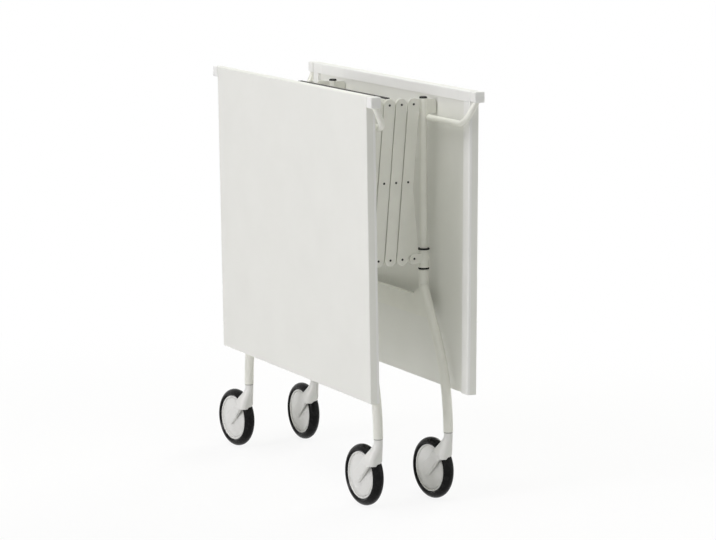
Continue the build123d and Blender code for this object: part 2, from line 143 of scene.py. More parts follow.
class Graph:
    """Node tree of one material, built around its surface shader."""

    def __init__(self, name: str) -> None:
        """Starts a material with a Principled shader and Object coordinates.

        Args:
            name: The material's name.
        """
        self.material = bpy.data.materials.new(name)
        self.material.use_nodes = True
        self.tree = self.material.node_tree
        self.shader = self.tree.nodes["Principled BSDF"]
        self.place = self.add("ShaderNodeTexCoord").outputs["Object"]

    def add(self, kind: str, **settings: object) -> bpy.types.Node:
        """Adds a node and sets its plain properties.

        Args:
            kind: The node's type name.
            settings: Properties to set on the node.

        Returns:
            The new node.
        """
        node = self.tree.nodes.new(kind)
        for key, value in settings.items():
            setattr(node, key, value)
        return node

    def link(self, source: bpy.types.NodeSocket, target: bpy.types.NodeSocket) -> None:
        """Joins an output to an input."""
        self.tree.links.new(source, target)

    def stretched(self, stretch: Point) -> bpy.types.NodeSocket:
        """Object coordinates scaled differently on each axis.

        Args:
            stretch: Factor on each axis; a small one draws a pattern out along it.

        Returns:
            The scaled coordinates.
        """
        mapping = self.add("ShaderNodeMapping")
        mapping.inputs["Scale"].default_value = stretch
        self.link(self.place, mapping.inputs["Vector"])
        return mapping.outputs["Vector"]

    def noise(
        self, size_mm: float, detail: float = 2.0, stretch: Point | None = None,
    ) -> bpy.types.NodeSocket:
        """Soft noise whose patches are about the given size.

        Args:
            size_mm: Size of a patch in millimetres.
            detail: How much finer noise is laid over the patches.
            stretch: Factors that draw the patches out, or None for round ones.

        Returns:
            The noise value, from 0 to 1.
        """
        node = self.add("ShaderNodeTexNoise")
        node.inputs["Scale"].default_value = 1.0 / (size_mm * MM)
        node.inputs["Detail"].default_value = detail
        self.link(self.stretched(stretch) if stretch else self.place, node.inputs["Vector"])
        return node.outputs["Fac"]

    def spread(
        self, value: bpy.types.NodeSocket, source: Limits, target: Limits,
    ) -> bpy.types.NodeSocket:
        """Maps a value from one range to another, held at the ends.

        Args:
            value: The value to map.
            source: The range that it has.
            target: The range that it gets.

        Returns:
            The mapped value.
        """
        node = self.add("ShaderNodeMapRange")
        set_range(node, source, target)
        self.link(value, node.inputs["Value"])
        return node.outputs["Result"]

    def blend(
        self, factor: bpy.types.NodeSocket, low: Colour | bpy.types.NodeSocket,
        high: Colour | bpy.types.NodeSocket,
    ) -> bpy.types.NodeSocket:
        """Mixes two colours.

        Args:
            factor: 0 for the first colour, 1 for the second.
            low: The first colour.
            high: The second colour.

        Returns:
            The mixed colour.
        """
        node = self.add("ShaderNodeMix", data_type="RGBA")
        self.link(factor, node.inputs[MIX_FACTOR])
        for socket, colour in ((node.inputs[MIX_LOW], low), (node.inputs[MIX_HIGH], high)):
            if isinstance(colour, bpy.types.NodeSocket):
                self.link(colour, socket)
            else:
                socket.default_value = (*colour, 1.0)
        return node.outputs[MIX_RESULT]

    def bump(self, height: bpy.types.NodeSocket, depth_mm: float) -> bpy.types.NodeSocket:
        """Turns a height into a surface normal.

        Args:
            height: Height from 0 to 1.
            depth_mm: Depth of the relief in millimetres.

        Returns:
            The bumped normal.
        """
        node = self.add("ShaderNodeBump")
        node.inputs["Distance"].default_value = depth_mm * MM
        self.link(height, node.inputs["Height"])
        return node.outputs["Normal"]

    def dress(
        self, colour: bpy.types.NodeSocket, roughness: bpy.types.NodeSocket,
        normal: bpy.types.NodeSocket,
    ) -> None:
        """Feeds the surface shader.

        Args:
            colour: The surface's colour.
            roughness: Its roughness.
            normal: Its normal.
        """
        self.link(colour, self.shader.inputs["Base Color"])
        self.link(roughness, self.shader.inputs["Roughness"])
        self.link(normal, self.shader.inputs["Normal"])


@dataclass(frozen=True)
class Finish:
    """A painted, laminated or moulded surface.

    Attributes:
        name: Name of the material.
        slot: The record's material slot.
        colour: Main colour, linear.
        shade: Colour of the faint darker mottles, linear.
        mottle_mm: Size of the mottles.
        roughness: Least and most roughness.
        smudge_mm: Size of the patches of roughness.
        grain_mm: Size of the surface's own grain.
        grain_depth_mm: Depth of that grain.
        metallic: 1 for bare metal.
        specular: Specular level.
    """

    name: str
    slot: str
    colour: Colour
    shade: Colour
    mottle_mm: float
    roughness: Limits
    smudge_mm: float
    grain_mm: float
    grain_depth_mm: float
    metallic: float = 0.0
    specular: float = 0.5

    @functools.cache
    def material(self) -> bpy.types.Material:
        """The material of this finish, made once.

        Returns:
            The material.
        """
        graph = Graph(self.name)
        graph.shader.inputs["Metallic"].default_value = self.metallic
        graph.shader.inputs["Specular IOR Level"].default_value = self.specular
        graph.dress(self.tint(graph), self.gloss(graph), self.relief(graph))
        return graph.material

    def tint(self, graph: Graph) -> bpy.types.NodeSocket:
        """Colour with faint mottles.

        Args:
            graph: The material's node tree.

        Returns:
            The colour.
        """
        patches = graph.spread(graph.noise(self.mottle_mm, detail=4.0), MOTTLE_SPAN, (0.0, 1.0))
        return graph.blend(patches, self.colour, self.shade)

    def gloss(self, graph: Graph) -> bpy.types.NodeSocket:
        """Roughness in soft patches, as handling leaves it.

        Args:
            graph: The material's node tree.

        Returns:
            The roughness.
        """
        return graph.spread(graph.noise(self.smudge_mm, detail=3.0), SMUDGE_SPAN, self.roughness)

    def relief(self, graph: Graph) -> bpy.types.NodeSocket:
        """Fine grain of the surface.

        Args:
            graph: The material's node tree.

        Returns:
            The normal.
        """
        return graph.bump(graph.noise(self.grain_mm), self.grain_depth_mm)


@dataclass(frozen=True)
class TyreFinish(Finish):
    """Soft black tyre with floor dust rubbed into its grain.

    Attributes:
        dust: Colour of the dust, linear.
        dust_share: How much of the dust shows where it is thickest.
    """

    dust: Colour = (0.03, 0.03, 0.028)
    dust_share: float = 0.25

    def tint(self, graph: Graph) -> bpy.types.NodeSocket:
        """Black with a dull film of dust in fine streaks.

        Args:
            graph: The material's node tree.

        Returns:
            The colour.
        """
        patches = graph.noise(self.smudge_mm, detail=5.0)
        film = graph.spread(patches, DUST_SPAN, (0.0, self.dust_share))
        return graph.blend(film, super().tint(graph), self.dust)


@dataclass(frozen=True)
class TurnedMetal(Finish):
    """Bare turned metal with fine tool marks.

    Attributes:
        draw: Factors that draw the tool marks out.
    """

    draw: Point = (0.05, 1.0, 1.0)

    def relief(self, graph: Graph) -> bpy.types.NodeSocket:
        """Fine parallel tool marks.

        Args:
            graph: The material's node tree.

        Returns:
            The normal.
        """
        return graph.bump(graph.noise(self.grain_mm, stretch=self.draw), self.grain_depth_mm)


LAMINATE = Finish(
    name="white_laminate", slot="white_laminate",
    colour=(0.858, 0.861, 0.820), shade=(0.836, 0.839, 0.798),
    mottle_mm=70.0, roughness=(0.36, 0.46), smudge_mm=55.0, grain_mm=0.9, grain_depth_mm=0.012,
)
POWDER_COAT = Finish(
    name="white_powder_coat", slot="white_paint",
    colour=(0.872, 0.873, 0.812), shade=(0.846, 0.847, 0.786),
    mottle_mm=30.0, roughness=(0.34, 0.44), smudge_mm=22.0, grain_mm=1.4, grain_depth_mm=0.03,
)
MOULDING = Finish(
    name="white_moulding", slot="white_moulding",
    colour=(0.910, 0.911, 0.896), shade=(0.892, 0.893, 0.878),
    mottle_mm=40.0, roughness=(0.30, 0.40), smudge_mm=18.0, grain_mm=0.6, grain_depth_mm=0.012,
)
CASTER_PLASTIC = Finish(
    name="white_caster_plastic", slot="white_moulding",
    colour=(0.830, 0.830, 0.808), shade=(0.806, 0.806, 0.784),
    mottle_mm=25.0, roughness=(0.32, 0.44), smudge_mm=14.0, grain_mm=0.7, grain_depth_mm=0.015,
)
RUBBER = Finish(
    name="black_rubber", slot="black_rubber",
    colour=(0.016, 0.016, 0.016), shade=(0.024, 0.024, 0.023),
    mottle_mm=6.0, roughness=(0.55, 0.75), smudge_mm=8.0, grain_mm=0.7, grain_depth_mm=0.05,
    specular=0.35,
)
BUSH_PLASTIC = Finish(
    name="black_bush_plastic", slot="black_plastic",
    colour=(0.008, 0.008, 0.008), shade=(0.014, 0.014, 0.013),
    mottle_mm=5.0, roughness=(0.40, 0.55), smudge_mm=6.0, grain_mm=0.5, grain_depth_mm=0.02,
    specular=0.25,
)
TYRE = TyreFinish(
    name="black_tyre", slot="black_tyre",
    colour=(0.005, 0.005, 0.005), shade=(0.008, 0.008, 0.008),
    mottle_mm=5.0, roughness=(0.17, 0.34), smudge_mm=9.0, grain_mm=0.8, grain_depth_mm=0.04,
    specular=0.10,
)
PIN_STEEL = TurnedMetal(
    name="turned_pin_steel", slot="pin_steel",
    colour=(0.56, 0.56, 0.55), shade=(0.48, 0.48, 0.47),
    mottle_mm=4.0, roughness=(0.24, 0.40), smudge_mm=5.0, grain_mm=0.5, grain_depth_mm=0.01,
    metallic=1.0,
)
DARK_RIVET = TurnedMetal(
    name="dark_rivet", slot="dark_rivet",
    colour=(0.030, 0.030, 0.029), shade=(0.050, 0.050, 0.048),
    mottle_mm=1.5, roughness=(0.35, 0.55), smudge_mm=1.5, grain_mm=0.4, grain_depth_mm=0.01,
    metallic=0.6, draw=(1.0, 0.2, 1.0),
)


# Stock and the ways to work it


class Blank:
    """A piece of stock: a closed mesh in millimetres."""

    def __init__(self) -> None:
        """Starts with nothing."""
        self.bm = bmesh.new()

    def add(self, *others: Blank) -> Blank:
        """Puts other blanks into this one as separate shells and uses them up.

        Args:
            others: The blanks to take in.

        Returns:
            This blank.
        """
        for other in others:
            mesh = bpy.data.meshes.new("shell")
            other.bm.to_mesh(mesh)
            other.bm.free()
            self.bm.from_mesh(mesh)
            bpy.data.meshes.remove(mesh)
        return self

    def copy(self) -> Blank:
        """Copies the blank.

        Returns:
            A second blank of the same shape.
        """
        twin = Blank()
        twin.bm.free()
        twin.bm = self.bm.copy()
        return twin

    def moved(self, matrix: Matrix) -> Blank:
        """Moves the blank; a matrix that mirrors also turns its faces round.

        Args:
            matrix: The move.

        Returns:
            This blank.
        """
        bmesh.ops.transform(self.bm, matrix=matrix, verts=self.bm.verts)
        if matrix.determinant() < 0:
            bmesh.ops.reverse_faces(self.bm, faces=self.bm.faces)
        return self

    def sharp_edges(self) -> list[bmesh.types.BMEdge]:
        """Edges where two faces meet at more than the sharp angle."""
        return [edge for edge in self.bm.edges if edge.calc_face_angle(0.0) > SHARP_ANGLE]

    def ease(
        self, radius: float, segments: int = 3,
        where: Callable[[bmesh.types.BMEdge], bool] | None = None,
    ) -> Blank:
        """Rounds the sharp edges.

        Args:
            radius: Radius of the round.
            segments: Number of facets across the round.
            where: Test that picks edges, or None for all sharp ones.

        Returns:
            This blank.
        """
        edges = [edge for edge in self.sharp_edges() if where is None or where(edge)]
        bmesh.ops.bevel(
            self.bm, geom=edges, offset=radius, segments=segments, profile=0.5, affect="EDGES",
            material=-1, clamp_overlap=True,
        )
        return self

    def cut(self, point: Point, normal: Vector) -> Blank:
        """Cuts the faces along a plane, with both halves kept.

        Args:
            point: A point on the plane.
            normal: Direction square to the plane.

        Returns:
            This blank.
        """
        geom = self.bm.verts[:] + self.bm.edges[:] + self.bm.faces[:]
        bmesh.ops.bisect_plane(self.bm, geom=geom, plane_co=point, plane_no=normal)
        return self

    def pull(self, face: bmesh.types.BMFace, rise: Vector, keep: bool = False) -> Blank:
        """Extrudes a face.

        Args:
            face: The face.
            rise: Direction and length of the pull.
            keep: True to leave the face in place too, as the far side.

        Returns:
            This blank.
        """
        geom = [face, *face.edges]
        made = bmesh.ops.extrude_face_region(self.bm, geom=geom, use_keep_orig=keep)
        verts = [item for item in made["geom"] if isinstance(item, bmesh.types.BMVert)]
        bmesh.ops.translate(self.bm, vec=rise, verts=verts)
        return self

    def closed(self) -> Blank:
        """Merges doubles and points the faces outwards.

        Returns:
            This blank.
        """
        bmesh.ops.remove_doubles(self.bm, verts=self.bm.verts, dist=MERGE_DISTANCE)
        bmesh.ops.recalc_face_normals(self.bm, faces=self.bm.faces)
        return self

    def cast(self, name: str, body: str, finish: Finish, replaces: Sequence[str]) -> None:
        """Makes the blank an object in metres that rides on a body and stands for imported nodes.

        Args:
            name: The piece's name.
            body: The body it rides on.
            finish: Its finish.
            replaces: The nodes it stands for, if any.
        """
        bmesh.ops.scale(self.bm, vec=(MM, MM, MM), verts=self.bm.verts)
        for face in self.bm.faces:
            face.smooth = True
        for edge in self.sharp_edges():
            edge.smooth = False
        mesh = bpy.data.meshes.new(name)
        self.bm.to_mesh(mesh)
        self.bm.free()
        mesh.materials.append(finish.material())
        piece = bpy.data.objects.new(name, mesh)
        bpy.context.scene.collection.objects.link(piece)
        weighted = piece.modifiers.new("face_weighted_normals", "WEIGHTED_NORMAL")
        weighted.keep_sharp = True
        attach(piece, body)
        if replaces:
            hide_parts(*replaces)
        LOG.info("%s: %d faces on %s", name, len(mesh.polygons), body)


def block(low: Point, high: Point) -> Blank:
    """Rectangular block.

    Args:
        low: Its lowest corner.
        high: Its highest corner.

    Returns:
        The blank.
    """
    blank = Blank()
    start, end = Vector(low), Vector(high)
    place = Matrix.Translation((start + end) / 2) @ Matrix.Diagonal((*(end - start), 1.0))
    bmesh.ops.create_cube(blank.bm, size=1.0, matrix=place)
    return blank


def turning(
    profile: Profile, base: Vector, axis: Vector, steps: int, ring: bool = False,
) -> Blank:
    """Body of revolution.

    Args:
        profile: Points of the outline as radius and height along the axis.
        base: Where the heights start.
        axis: Direction of the axis.
        steps: Number of facets round the axis.
        ring: True for an outline that closes on itself.

    Returns:
        The blank.
    """
    blank = Blank()
    across = axis.orthogonal().normalized()
    verts = [blank.bm.verts.new(base + across * r + axis * height) for r, height in profile]
    pairs = list(zip(verts, verts[1:]))
    if ring:
        pairs.append((verts[-1], verts[0]))
    edges = [blank.bm.edges.new(pair) for pair in pairs]
    bmesh.ops.spin(
        blank.bm, geom=verts + edges, cent=base, axis=axis, angle=math.tau, steps=steps,
        use_merge=True,
    )
    return blank.closed()


def link_plate(
    start: Point, end: Point, radius: float, thickness: float, segments: int = 36,
) -> Blank:
    """Flat bar with round ends that lies square to X.

    Args:
        start: Centre of one end, on the bar's inner face.
        end: Centre of the other end.
        radius: Radius of the ends.
        thickness: Thickness along X.
        segments: Facets round the two ends together.

    Returns:
        The blank.
    """
    blank = Blank()
    run = Vector(end) - Vector(start)
    along = run.normalized()
    frame = Matrix((along, X_AXIS.cross(along), X_AXIS)).transposed().to_4x4()
    half_step = Matrix.Rotation(math.pi / segments, 4, "Z")
    place = Matrix.Translation(start) @ frame @ half_step
    bmesh.ops.create_circle(blank.bm, cap_ends=True, segments=segments, radius=radius, matrix=place)
    far = [vert for vert in blank.bm.verts if (vert.co - Vector(start)).dot(along) > 0]
    bmesh.ops.translate(blank.bm, vec=run, verts=far)
    (face,) = blank.bm.faces
    return blank.pull(face, X_AXIS * thickness, keep=True).closed()


def mirrored(blank: Blank, side: Side = Side.REAR, hand: Hand = Hand.RIGHT) -> Blank:
    """Moves a blank from the rear right to another place.

    Args:
        blank: The blank at the rear right.
        side: The half it goes to.
        hand: The end it goes to.

    Returns:
        The same blank.
    """
    return blank.moved(Matrix.Diagonal((hand.sign, side.sign, 1.0, 1.0)))


def both_hands(blank: Blank) -> Blank:
    """A blank and its twin at the other end of the trolley, as one."""
    twin = mirrored(blank.copy(), hand=Hand.LEFT)
    return blank.add(twin)


def arc(
    centre: tuple[float, float], radius: float, start_deg: float, end_deg: float, steps: int,
) -> Profile:
    """Points along an arc of an outline.

    Args:
        centre: Centre of the arc.
        radius: Its radius.
        start_deg: Angle of its first point.
        end_deg: Angle of its last point.
        steps: Number of chords.

    Returns:
        The points.
    """
    sweep_deg = end_deg - start_deg
    angles = [math.radians(start_deg + sweep_deg * step / steps) for step in range(steps + 1)]
    return [(centre[0] + radius * math.cos(a), centre[1] + radius * math.sin(a)) for a in angles]


# Sub-assemblies


@dataclass
class Tray:
    """One hanging tray: a laminated board with moulded rims on its serving face.

    Attributes:
        hinge: Point on the hinge line.
        half_width: Half the width of the tray.
        bottom: Height of the free edge.
        top: Height of the hinge edge.
        outer_y: Y of the plain outer face.
        board_y: Y of the serving face.
        rim_y: Y of the rims' faces.
        rebate: Depth of the step that the rims sit in.
        rim_width: Width of a side rim.
        rail_height: Height of the rail along the hinge edge.
        cap_length: Length of a corner cap.
        joint: Fine gap between two mouldings.
        lean_deg: Lean of the hanging tray about its hinge.
        edge_round: Round on the board's edges.
        crest_round: Round on the outer edges of the mouldings.
        rim_round: Round on their other edges.
    """

    hinge: Vector
    half_width: float = 310.0
    bottom: float = 183.0
    top: float = 680.0
    outer_y: float = 100.5
    board_y: float = 88.0
    rim_y: float = 83.5
    rebate: float = 0.6
    rim_width: float = 22.0
    rail_height: float = 18.0
    cap_length: float = 40.0
    joint: float = 0.3
    lean_deg: float = -0.6
    edge_round: float = 2.0
    crest_round: float = 2.8
    rim_round: float = 0.9

    def leaned(self, blank: Blank) -> Blank:
        """Leans a blank of the rear tray about the hinge.

        Args:
            blank: The blank, upright.

        Returns:
            The same blank.
        """
        turn = Matrix.Rotation(math.radians(self.lean_deg), 4, "X")
        return blank.moved(Matrix.Translation(self.hinge) @ turn @ Matrix.Translation(-self.hinge))

    @property
    def rail_bottom(self) -> float:
        """Height of the rail's lower edge."""
        return self.top - self.rail_height

    def board(self) -> Blank:
        """Board with a raised serving field and rounded edges.

        Returns:
            The blank.
        """
        seat_y = self.board_y + self.rebate
        low = (-self.half_width, seat_y, self.bottom)
        blank = block(low, (self.half_width, self.outer_y, self.top))
        blank.ease(
            self.edge_round, segments=4,
            where=lambda edge: min(vert.co.y for vert in edge.verts) > seat_y + MERGE_DISTANCE,
        )
        field_x = self.half_width - self.rim_width - self.joint
        field_top = self.rail_bottom - self.joint
        for x in (-field_x, field_x):
            blank.cut((x, 0.0, 0.0), X_AXIS)
        blank.cut((0.0, 0.0, field_top), Z_AXIS)
        middle = Vector((0.0, seat_y, (self.bottom + field_top) / 2))
        field = min(blank.bm.faces, key=lambda face: (face.calc_center_median() - middle).length)
        return blank.pull(field, Vector((0.0, -self.rebate, 0.0))).closed()

    def is_crest(self, edge: bmesh.types.BMEdge) -> bool:
        """Whether an edge of a moulding lies along the top or the right end of the tray.

        Args:
            edge: The edge.

        Returns:
            True for an outer edge of the raised face.
        """
        start, end = (vert.co for vert in edge.verts)
        raised_edge = max(start.y, end.y) < self.rim_y + MERGE_DISTANCE
        at_top = min(start.z, end.z) > self.top - self.joint
        at_end = min(start.x, end.x) > self.half_width - self.joint
        return raised_edge and (at_top or at_end)

    def stands_proud(self, edge: bmesh.types.BMEdge) -> bool:
        """Whether an edge reaches above the serving face."""
        return min(vert.co.y for vert in edge.verts) < self.board_y - MERGE_DISTANCE

    def moulding(self, x: Limits, z: Limits) -> Blank:
        """One moulded strip on the serving face, with a soft outer edge.

        Args:
            x: Its limits across the tray.
            z: Its limits up the tray.

        Returns:
            The blank.
        """
        gap = self.joint / 2
        low = (x[0] + gap, self.rim_y, z[0])
        blank = block(low, (x[1], self.board_y + self.rebate, z[1] - gap))
        blank.ease(self.crest_round, segments=6, where=self.is_crest)
        return blank.ease(self.rim_round, where=self.stands_proud)

    def build(self, side: Side) -> None:
        """Casts the pieces of one tray.

        Args:
            side: The half that the tray hangs on.
        """
        body = f"{side.value}_tray"
        rim_x = (self.half_width - self.rim_width, self.half_width)
        cap_x = (self.half_width - self.cap_length, self.half_width)
        rail_x = (-cap_x[0], cap_x[0])
        rail_z = (self.rail_bottom, self.top)
        rims = both_hands(self.moulding(rim_x, (self.bottom, self.rail_bottom)))
        caps = both_hands(self.moulding(cap_x, rail_z))
        pieces = (
            ("laminate_board", self.board(), LAMINATE, "panel"),
            ("moulded_rims", rims, MOULDING, "side_rims"),
            ("moulded_rail", self.moulding(rail_x, rail_z), MOULDING, "end_rail"),
            ("moulded_corners", caps, MOULDING, "corner_caps"),
        )
        for name, blank, finish, node in pieces:
            placed = mirrored(self.leaned(blank), side)
            placed.cast(f"{name}_{side.value}", body, finish, [f"{body}_{node}"])


@dataclass
class UprightFrame:
    """One upright frame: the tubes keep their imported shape, and the fittings on them are made here.

    Attributes:
        ear_x: Limits of an ear across the tray.
        ear_y: Its limits along the fold.
        ear_z: Its limits in height.
        ear_round: Round on the ear's edges.
        post_x: X of a post.
        post_y: Y of a post.
        post_r: Radius of a post.
        plug_r: Radius of the cap's plug inside the post.
        plug_bottom: Lowest point of that plug.
        post_top: Top of the post.
        cap_top: Top of its cap.
        cap_round: Round on the cap's upper edge.
    """

    ear_x: Limits = (311.8, 330.0)
    ear_y: Limits = (83.0, 101.0)
    ear_z: Limits = (662.0, 680.0)
    ear_round: float = 2.2
    post_x: float = POST_X
    post_y: float = POST_Y
    post_r: float = 6.5
    plug_r: float = 5.0
    plug_bottom: float = 650.6
    post_top: float = 658.6
    cap_top: float = 661.8
    cap_round: float = 1.6

    def ear(self) -> Blank:
        """Hinge ear: a block with soft corners.

        Returns:
            The blank.
        """
        low, high = zip(self.ear_x, self.ear_y, self.ear_z)
        return block(low, high).ease(self.ear_round, segments=5)

    def cap(self) -> Blank:
        """Rubber cap with a round edge and a plug inside the post.

        Returns:
            The blank.
        """
        centre = (self.post_r - self.cap_round, self.cap_top - self.cap_round)
        crown = arc(centre, self.cap_round, 90.0, 0.0, steps=5)
        profile = [
            (0.0, self.cap_top), *crown, (self.post_r, self.post_top), (self.plug_r, self.post_top),
            (self.plug_r, self.plug_bottom), (0.0, self.plug_bottom),
        ]
        return turning(profile, Vector((self.post_x, self.post_y, 0.0)), Z_AXIS, steps=48)

    def build(self, side: Side) -> None:
        """Casts the fittings of one frame.

        Args:
            side: The half that the frame carries.
        """
        body = f"{side.value}_frame"
        pieces = (
            ("ear_blocks", self.ear(), MOULDING, "hinge_ears"),
            ("rubber_plugs", self.cap(), RUBBER, "post_caps"),
        )
        for name, blank, finish, node in pieces:
            placed = mirrored(both_hands(blank), side)
            placed.cast(f"{name}_{side.value}", body, finish, [f"{side.value}_{node}"])


@dataclass
class Lattice:
    """The two lattices of crossed bars with their riveted pivots.

    Attributes:
        units: Number of crossings at each side.
        pitch: Distance between two columns of pivots.
        top: Height of the top pivots.
        bottom: Height of the bottom pivots.
        bar_r: Half the width of a bar.
        bar: Thickness of a bar.
        bar_ease: Round on the bars' edges.
        outer_face: X of the outer bars' outer faces.
        gap: Gap between two layers.
        rivet_r: Radius of a rivet's shank.
        head_r: Radius of its heads.
        head: Height of its domed heads.
        dome: Outline of a head, in shares of its radius and height.
    """

    units: int = 4
    pitch: float = 21.75
    top: float = 650.0
    bottom: float = 394.0
    bar_r: float = 10.0
    bar: float = 3.0
    bar_ease: float = 0.5
    outer_face: float = 186.0
    gap: float = 0.4
    rivet_r: float = 1.6
    head_r: float = 1.9
    head: float = 0.8
    dome: Profile = ((1.0, 0.0), (1.0, 0.3), (0.8, 0.75), (0.4, 1.0), (0.0, 1.0))

    def column(self, index: int) -> float:
        """Y of a column of pivots, counted from the front."""
        return (index - self.units / 2) * self.pitch

    def inner_face(self, layers: int) -> float:
        """X of the inner face of a stack of layers."""
        return self.outer_face - layers * self.bar - (layers - 1) * self.gap

    def bars(self, unit: int, layer: Layer) -> Blank:
        """The right and left bars of one crossing in one layer.

        Args:
            unit: The crossing, counted from the front.
            layer: The layer.

        Returns:
            The blank.
        """
        heights = (self.bottom, self.top) if layer is Layer.OUTER else (self.top, self.bottom)
        x = self.inner_face(1 if layer is Layer.OUTER else 2)
        start = (x, self.column(unit), heights[0])
        end = (x, self.column(unit + 1), heights[1])
        plate = link_plate(start, end, self.bar_r, self.bar)
        return both_hands(plate.ease(self.bar_ease, segments=2))

    def rivet(self, y: float, z: float, layers: int = 2) -> Blank:
        """Rivet through a stack of layers, with a domed head at each end.

        Args:
            y: Y of the pivot.
            z: Height of the pivot.
            layers: Number of layers it holds.

        Returns:
            The blank.
        """
        inner = self.inner_face(layers) - self.gap
        outer = self.outer_face
        dome = [(radius * self.head_r, height * self.head) for radius, height in self.dome]
        outer_head = [(radius, outer + height) for radius, height in reversed(dome)]
        inner_head = [(radius, inner - height) for radius, height in dome]
        profile = [*outer_head, (self.rivet_r, outer), (self.rivet_r, inner), *inner_head]
        return turning(profile, Vector((0.0, y, z)), X_AXIS, steps=20)

    def rivets(self, unit: int) -> Blank:
        """The rivets carried by the outer bars of one crossing.

        Args:
            unit: The crossing, counted from the front.

        Returns:
            The blank.
        """
        middle = (self.top + self.bottom) / 2
        carries_beam = unit + 1 == self.units // 2
        blank = self.rivet(self.column(unit), self.bottom)
        blank.add(self.rivet(self.column(unit) + self.pitch / 2, middle))
        blank.add(self.rivet(self.column(unit + 1), self.top, layers=3 if carries_beam else 2))
        return both_hands(blank)

    def build(self) -> None:
        """Casts the bars, the rivets and the two rows of end studs."""
        for unit in range(self.units):
            number = unit + 1
            for layer in Layer:
                name = f"{layer.value}_bars_{number}"
                body = f"lattice_{layer.value}_{number}"
                self.bars(unit, layer).cast(f"painted_{name}", body, POWDER_COAT, [name])
            body, node = f"lattice_outer_{number}", f"lattice_rivets_{number}"
            self.rivets(unit).cast(f"domed_rivets_{number}", body, DARK_RIVET, [node])
        upper = both_hands(self.rivet(self.column(0), self.top))
        upper.cast("domed_studs_front", "front_frame", DARK_RIVET, ["front_bracket_studs"])
        lower = both_hands(self.rivet(self.column(self.units), self.bottom))
        lower.cast("domed_studs_rear", "rear_slide_sleeves", DARK_RIVET, ["rear_sleeve_studs"])


@dataclass
class SlideSleeves:
    """The dark bush rings at the ends of the sleeves that slide on the posts.

    Attributes:
        post_x: X of a post.
        post_y: Y of a post.
        bore_r: Radius of a ring's bore.
        upper: Outer radius, lowest and highest point of the upper ring.
        lower: The same of the lower ring.
        ring_round: Round on the rings' edges.
    """

    post_x: float = POST_X
    post_y: float = POST_Y
    bore_r: float = 6.55
    upper: tuple[float, float, float] = (10.0, 407.5, 410.5)
    lower: tuple[float, float, float] = (9.2, 375.2, 378.0)
    ring_round: float = 0.8

    def ring(self, size: tuple[float, float, float]) -> Blank:
        """One bush ring.

        Args:
            size: Outer radius, lowest and highest point.

        Returns:
            The blank.
        """
        radius, low, high = size
        profile = [(self.bore_r, low), (radius, low), (radius, high), (self.bore_r, high)]
        base = Vector((self.post_x, self.post_y, 0.0))
        return turning(profile, base, Z_AXIS, steps=48, ring=True).ease(self.ring_round)

    def build(self, side: Side) -> None:
        """Casts the rings of one half.

        Args:
            side: The half.
        """
        rings = both_hands(self.ring(self.upper).add(self.ring(self.lower)))
        body, node = f"{side.value}_slide_sleeves", f"{side.value}_sleeve_bushes"
        mirrored(rings, side).cast(f"bush_rings_{side.value}", body, BUSH_PLASTIC, [node])


@dataclass
class CentreSupport:
    """The beam between the two lattices and the rubber strip that the opened trays rest on.

    Attributes:
        reach: Half the length of the beam.
        lug: Thickness of its lugs.
        half_y: Half its width.
        pivot_z: Height of its pivots.
        top: Height of its upper face.
        bar: Its thickness.
        strip_half_y: Half the width of the strip.
        strip_gap: How far the strip ends before the beam.
        strip_top: Height of the strip's ribs.
        ribs: Number of ribs along the strip.
        rib_height: Height of a rib.
        rib_inset: How far a rib's top draws in.
        edge_round: Round on the beam's edges.
    """

    reach: float = 179.2
    lug: float = 3.0
    half_y: float = 7.0
    pivot_z: float = 650.0
    top: float = 660.0
    bar: float = 3.0
    strip_half_y: float = 4.0
    strip_gap: float = 1.5
    strip_top: float = 661.8
    ribs: int = 3
    rib_height: float = 0.8
    rib_inset: float = 0.35
    edge_round: float = 0.6

    def beam(self) -> Blank:
        """Flat bar with a round-ended lug at each end.

        Returns:
            The blank.
        """
        low = (-self.reach, -self.half_y, self.top - self.bar)
        bar = block(low, (self.reach, self.half_y, self.top))
        bar.ease(self.edge_round, segments=2)
        x = self.reach - self.lug
        start, end = (x, 0.0, self.pivot_z), (x, 0.0, self.top - self.half_y)
        lug = link_plate(start, end, self.half_y, self.lug)
        return bar.add(both_hands(lug.ease(self.edge_round, segments=2)))

    def strip(self) -> Blank:
        """Rubber strip with raised ribs along it.

        Returns:
            The blank.
        """
        half_x = self.reach - self.strip_gap
        deck = self.strip_top - self.rib_height
        low = (-half_x, -self.strip_half_y, self.top)
        blank = block(low, (half_x, self.strip_half_y, deck))
        rib_width = 2 * self.strip_half_y / self.ribs
        for index in range(1, self.ribs):
            blank.cut((0.0, index * rib_width - self.strip_half_y, 0.0), Y_AXIS)
        least_z = deck - MERGE_DISTANCE
        tops = [face for face in blank.bm.faces if face.calc_center_median().z > least_z]
        bmesh.ops.inset_individual(
            blank.bm, faces=tops, thickness=self.rib_inset, depth=self.rib_height,
        )
        return blank.closed().ease(self.rib_inset, segments=2)

    def build(self) -> None:
        """Casts the beam and its strip."""
        self.beam().cast("painted_beam", "centre_support", POWDER_COAT, ["centre_beam"])
        self.strip().cast("ribbed_strip", "centre_support", RUBBER, ["centre_strip"])


